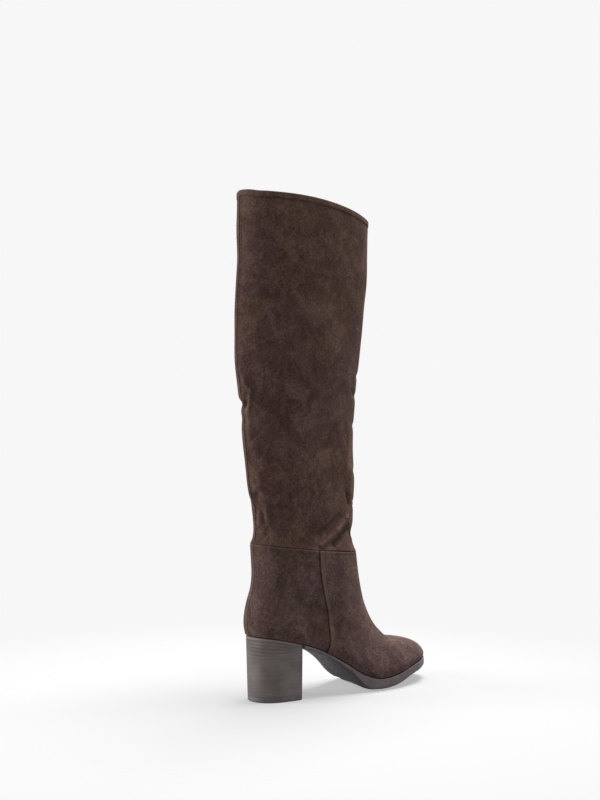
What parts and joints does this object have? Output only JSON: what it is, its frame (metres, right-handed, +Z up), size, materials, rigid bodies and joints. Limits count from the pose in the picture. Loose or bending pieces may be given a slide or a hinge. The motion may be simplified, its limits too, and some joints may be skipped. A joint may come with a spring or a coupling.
{
  "type": "knee-high boot",
  "caption": "Right-foot knee-high suede boot with a wide pull-on leg, an ankle-high foot part, a thin rubber outsole and a tall block heel.",
  "frame": {"origin": "centre of the heel's bottom face, on the floor", "axes": "+X from heel to toe, +Y to the inner (medial) side of the right foot, +Z up the leg"},
  "size_m": [0.2479, 0.0836, 0.5051],
  "materials": {
    "suede_foot": "dark brown suede, short mottled nap, fully matte",
    "suede_leg": "dark brown suede, short mottled nap, fully matte",
    "insole": "smooth lining leather, matte",
    "outsole": "grey-brown rubber, matte",
    "heel": "grey-brown stacked look with fine level lines, low sheen",
    "top_piece": "grey-brown rubber, matte"
  },
  "bodies": {
    "root": {"upper": "suede_foot", "shaft": "suede_leg", "insole": "insole", "outsole": "outsole", "heel": "heel", "heel_top_piece": "top_piece"}
  },
  "joints": []
}
